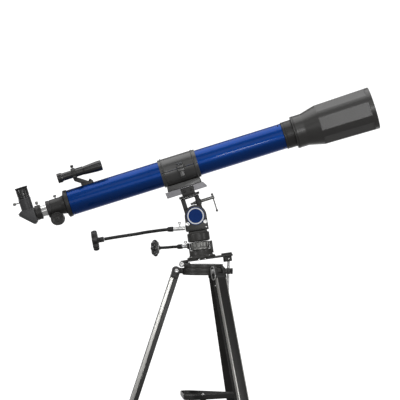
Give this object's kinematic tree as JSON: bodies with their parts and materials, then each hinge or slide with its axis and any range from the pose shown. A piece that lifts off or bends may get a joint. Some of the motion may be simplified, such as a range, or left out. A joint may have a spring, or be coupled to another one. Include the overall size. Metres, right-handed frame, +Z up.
{
  "type": "telescope on tripod",
  "caption": "Blue refractor telescope on a small equatorial mount with flexible controls, standing on a folding aluminium tripod with a tray.",
  "frame": {"origin": "on the floor, under the middle of the object's box", "axes": "+Z up; the tube points to +X and up, its side to -Y"},
  "size_m": [1.139, 0.5726, 1.2886],
  "materials": {
    "graphite_casting": "satin powder coat on die casting",
    "yoke_casting": "satin black casting",
    "dec_cover_plastic": "fine textured moulding",
    "badge_blue": "glossy blue disc with a plain white ring",
    "joint_plastic": "satin black moulding",
    "bolt_steel": "bright zinc plate",
    "leg_profile": "black anodised profile with bright side strips",
    "lower_leg_aluminium": "satin anodised",
    "lock_plastic": "satin black moulding",
    "foot_rubber": "matt",
    "spreader_steel": "pressed and zinc plated",
    "tray_enamel": "semi-gloss black enamel",
    "rod_steel": "bright drawn rod",
    "setting_ring_metal": "fluted, bright and dark bands",
    "sleeve_metal": "bright nickel plate",
    "shaft_sheath": "black vinyl over a wound shaft",
    "gloss_knob": "glossy black moulding",
    "matt_knob": "satin black moulding",
    "dovetail_aluminium": "satin anodised",
    "cradle_casting": "satin black casting",
    "latch_metal": "bright zinc plate",
    "tube_blue": "glossy blue enamel",
    "cell_plastic": "satin black moulding",
    "lens_glass": "coated achromatic doublet",
    "dew_shield_plastic": "satin moulding",
    "focuser_casting": "satin black moulding",
    "drawtube_chrome": "polished plate",
    "diagonal_plastic": "grey moulding",
    "eyepiece_black": "satin black with rubber eyecup",
    "finder_black": "satin black"
  },
  "bodies": {
    "tripod_head": {"tripod_head": "graphite_casting"},
    "leg_left": {"leg_fitting_left": "joint_plastic", "leg_bolt_left": "bolt_steel", "leg_upper_left": "leg_profile"},
    "lower_leg_left": {"leg_lower_left": "lower_leg_aluminium", "foot_left": "foot_rubber"},
    "lock_left": {"leg_lock_left": "lock_plastic"},
    "arm_left": {"spreader_arm_left": "spreader_steel"},
    "leg_front": {"leg_fitting_front": "joint_plastic", "leg_bolt_front": "bolt_steel", "leg_upper_front": "leg_profile"},
    "lower_leg_front": {"leg_lower_front": "lower_leg_aluminium", "foot_front": "foot_rubber"},
    "lock_front": {"leg_lock_front": "lock_plastic"},
    "arm_front": {"spreader_arm_front": "spreader_steel"},
    "leg_rear": {"leg_fitting_rear": "joint_plastic", "leg_bolt_rear": "bolt_steel", "leg_upper_rear": "leg_profile"},
    "lower_leg_rear": {"leg_lower_rear": "lower_leg_aluminium", "foot_rear": "foot_rubber"},
    "lock_rear": {"leg_lock_rear": "lock_plastic"},
    "arm_rear": {"spreader_arm_rear": "spreader_steel"},
    "spreader": {"spreader_hub": "joint_plastic", "accessory_tray": "tray_enamel"},
    "azimuth_base": {"azimuth_base": "graphite_casting", "latitude_hinge_bolt": "bolt_steel"},
    "rod_clamp": {"latitude_clamp": "joint_plastic"},
    "rod_clamp_knob": {"latitude_knob": "lock_plastic"},
    "tilt_plate": {"tilt_plate": "graphite_casting", "ra_base": "graphite_casting", "ra_flex_shaft": "shaft_sheath"},
    "latitude_rod": {"latitude_rod": "rod_steel"},
    "ra_setting_ring": {"ra_setting_ring": "setting_ring_metal"},
    "ra_knob": {"ra_knob": "gloss_knob", "ra_sleeve": "sleeve_metal"},
    "polar_head": {"ra_housing": "graphite_casting", "dec_cover": "dec_cover_plastic", "badge": "badge_blue", "dec_flex_shaft": "shaft_sheath"},
    "dec_sleeve": {"dec_sleeve": "sleeve_metal"},
    "dec_knob": {"dec_knob": "matt_knob"},
    "yoke": {"yoke": "yoke_casting", "saddle": "yoke_casting", "dovetail_bar": "dovetail_aluminium", "cradle_lower": "cradle_casting"},
    "tension_screw": {"tension_screw": "bolt_steel"},
    "tommy_bar": {"tommy_bar": "bolt_steel"},
    "cradle_upper": {"cradle_upper": "cradle_casting"},
    "cradle_latch": {"cradle_latch": "latch_metal"},
    "optical_tube": {"main_tube": "tube_blue", "objective_cell": "cell_plastic", "objective_lens": "lens_glass", "focuser_body": "focuser_casting", "finder_scope": "finder_black", "finder_bracket": "finder_black"},
    "dew_shield": {"dew_shield": "dew_shield_plastic"},
    "focus_knobs": {"focus_knobs": "matt_knob"},
    "drawtube": {"drawtube": "drawtube_chrome"},
    "diagonal": {"diagonal": "diagonal_plastic"},
    "eyepiece": {"eyepiece": "eyepiece_black"}
  },
  "joints": [
    {"name": "leg_fold_left", "type": "hinge", "parent": "tripod_head", "child": "leg_left", "pos_m": [-0.06242, -0.01675, 0.721], "axis": [0.0698, -0.9976, 0], "range_deg": [0, 16.7]},
    {"name": "arm_fold_left", "type": "hinge", "parent": "leg_left", "child": "arm_left", "pos_m": [-0.21985, -0.02776, 0.18339], "axis": [0.0698, -0.9976, 0], "range_deg": [0, 31.81]},
    {"name": "leg_extend_left", "type": "slide", "parent": "leg_left", "child": "lower_leg_left", "axis": [-0.3116, -0.0218, -0.95], "range_m": [0, 0.3]},
    {"name": "leg_lock_left_turn", "type": "hinge", "parent": "leg_left", "child": "lock_left", "pos_m": [-0.2584, -0.03046, 0.12347], "axis": [-0.9477, -0.0663, 0.3123], "continuous": true},
    {"name": "leg_fold_front", "type": "hinge", "parent": "tripod_head", "child": "leg_front", "pos_m": [0.06679, -0.07977, 0.721], "axis": [0.829, 0.5592, 0], "range_deg": [0, 16.7]},
    {"name": "arm_fold_front", "type": "hinge", "parent": "leg_front", "child": "arm_front", "pos_m": [0.15503, -0.2106, 0.18339], "axis": [0.829, 0.5592, 0], "range_deg": [0, 31.81]},
    {"name": "leg_extend_front", "type": "slide", "parent": "leg_front", "child": "lower_leg_front", "axis": [0.1747, -0.2589, -0.95], "range_m": [0, 0.3]},
    {"name": "leg_lock_front_turn", "type": "hinge", "parent": "leg_front", "child": "lock_front", "pos_m": [0.17664, -0.24264, 0.12347], "axis": [0.5312, -0.7876, 0.3123], "continuous": true},
    {"name": "leg_fold_rear", "type": "hinge", "parent": "tripod_head", "child": "leg_rear", "pos_m": [0.05676, 0.06364, 0.721], "axis": [-0.8988, 0.4384, 0], "range_deg": [0, 16.7]},
    {"name": "arm_fold_rear", "type": "hinge", "parent": "leg_rear", "child": "arm_rear", "pos_m": [0.12594, 0.20547, 0.18339], "axis": [-0.8988, 0.4384, 0], "range_deg": [0, 31.81]},
    {"name": "leg_extend_rear", "type": "slide", "parent": "leg_rear", "child": "lower_leg_rear", "axis": [0.1369, 0.2807, -0.95], "range_m": [0, 0.3]},
    {"name": "leg_lock_rear_turn", "type": "hinge", "parent": "leg_rear", "child": "lock_rear", "pos_m": [0.14288, 0.24021, 0.12347], "axis": [0.4164, 0.8538, 0.3123], "continuous": true},
    {"name": "spreader_slide", "type": "slide", "parent": "tripod_head", "child": "spreader", "axis": [0, 0, 1], "range_m": [0, 0.0938]},
    {"name": "azimuth_turn", "type": "hinge", "parent": "tripod_head", "child": "azimuth_base", "pos_m": [0.02037, -0.01096, 0], "axis": [0, 0, 1], "range_deg": [-15, 15]},
    {"name": "latitude_tilt", "type": "hinge", "parent": "azimuth_base", "child": "tilt_plate", "pos_m": [-0.04513, -0.01096, 0.741], "axis": [0, -1, 0], "range_deg": [-3, 45]},
    {"name": "latitude_rod_swing", "type": "hinge", "parent": "tilt_plate", "child": "latitude_rod", "pos_m": [0.10007, -0.01096, 0.75838], "axis": [0, -1, 0], "range_deg": [-22, 1.5]},
    {"name": "rod_clamp_swing", "type": "hinge", "parent": "azimuth_base", "child": "rod_clamp", "pos_m": [0.09887, -0.01096, 0.7196], "axis": [0, -1, 0], "range_deg": [-1.6, 23.5]},
    {"name": "rod_clamp_knob_turn", "type": "hinge", "parent": "rod_clamp", "child": "rod_clamp_knob", "pos_m": [0.09887, -0.01096, 0.7196], "axis": [0.9995, 0, -0.0314], "continuous": true},
    {"name": "ra_setting_ring_turn", "type": "hinge", "parent": "tilt_plate", "child": "ra_setting_ring", "pos_m": [0.01726, -0.01096, 0.74977], "axis": [-0.1392, 0, 0.9903], "continuous": true},
    {"name": "ra_turn", "type": "hinge", "parent": "tilt_plate", "child": "polar_head", "pos_m": [0.01726, -0.01096, 0.74977], "axis": [-0.1392, 0, 0.9903], "continuous": true},
    {"name": "ra_knob_spin", "type": "hinge", "parent": "tilt_plate", "child": "ra_knob", "pos_m": [-0.11377, 0.02145, 0.79076], "axis": [-0.938, 0.3412, -0.0614], "continuous": true},
    {"name": "dec_sleeve_spin", "type": "hinge", "parent": "polar_head", "child": "dec_sleeve", "pos_m": [-0.03429, -0.02896, 0.85219], "axis": [-0.9976, 0, -0.0698], "continuous": true},
    {"name": "dec_knob_spin", "type": "hinge", "parent": "polar_head", "child": "dec_knob", "pos_m": [-0.28263, -0.08896, 0.81959], "axis": [-0.9863, 0, -0.165], "continuous": true},
    {"name": "dec_turn", "type": "hinge", "parent": "polar_head", "child": "yoke", "pos_m": [-0.0025, -0.01096, 0.89039], "axis": [0, 1, 0], "range_deg": [-50, 37]},
    {"name": "tension_screw_turn", "type": "hinge", "parent": "yoke", "child": "tension_screw", "pos_m": [-0.01413, 0.00804, 0.92761], "axis": [0.9545, 0, 0.2982], "range_deg": [-90, 180]},
    {"name": "tommy_bar_slide", "type": "slide", "parent": "tension_screw", "child": "tommy_bar", "axis": [-0.2982, 0, 0.9545], "range_m": [0, 0.033]},
    {"name": "tube_slide", "type": "slide", "parent": "yoke", "child": "optical_tube", "axis": [0.9545, 0, 0.2982], "range_m": [-0.06, 0.06]},
    {"name": "cradle_open", "type": "hinge", "parent": "yoke", "child": "cradle_upper", "pos_m": [-0.04872, 0.04004, 1.03833], "axis": [-0.9545, 0, -0.2982], "range_deg": [0, 100]},
    {"name": "cradle_latch_turn", "type": "hinge", "parent": "cradle_upper", "child": "cradle_latch", "pos_m": [-0.04872, -0.06096, 1.03833], "axis": [-0.2982, 0, 0.9545], "continuous": true},
    {"name": "dew_shield_slide", "type": "slide", "parent": "optical_tube", "child": "dew_shield", "axis": [0.9545, 0, 0.2982], "range_m": [0, 0.03]},
    {"name": "focus_slide", "type": "slide", "parent": "optical_tube", "child": "drawtube", "axis": [-0.9545, 0, -0.2982], "range_m": [-0.006, 0.09]},
    {"name": "focus_knobs_turn", "type": "hinge", "parent": "optical_tube", "child": "focus_knobs", "pos_m": [-0.42933, -0.01096, 0.88171], "axis": [0, 1, 0], "range_deg": [-820, 130]},
    {"name": "diagonal_turn", "type": "hinge", "parent": "drawtube", "child": "diagonal", "pos_m": [-0.04872, -0.01096, 1.03833], "axis": [0.9545, 0, 0.2982], "range_deg": [-90, 90]},
    {"name": "eyepiece_lift", "type": "slide", "parent": "diagonal", "child": "eyepiece", "axis": [-0.2982, 0, 0.9545], "range_m": [0, 0.04]}
  ],
  "couplings": [
    {"joint": "arm_fold_left", "follows": "leg_fold_left", "ratio": 1.8989},
    {"joint": "leg_fold_front", "follows": "leg_fold_left", "ratio": 1},
    {"joint": "arm_fold_front", "follows": "leg_fold_left", "ratio": 1.8989},
    {"joint": "leg_fold_rear", "follows": "leg_fold_left", "ratio": 1},
    {"joint": "arm_fold_rear", "follows": "leg_fold_left", "ratio": 1.8989},
    {"joint": "spreader_slide", "follows": "leg_fold_left", "m_per_rad": 0.32086},
    {"joint": "latitude_rod_swing", "follows": "latitude_tilt", "ratio": -0.483},
    {"joint": "rod_clamp_swing", "follows": "latitude_tilt", "ratio": 0.517},
    {"joint": "dec_knob_spin", "follows": "dec_sleeve_spin", "ratio": 1},
    {"joint": "focus_knobs_turn", "follows": "focus_slide", "rad_per_m": -156.25}
  ]
}
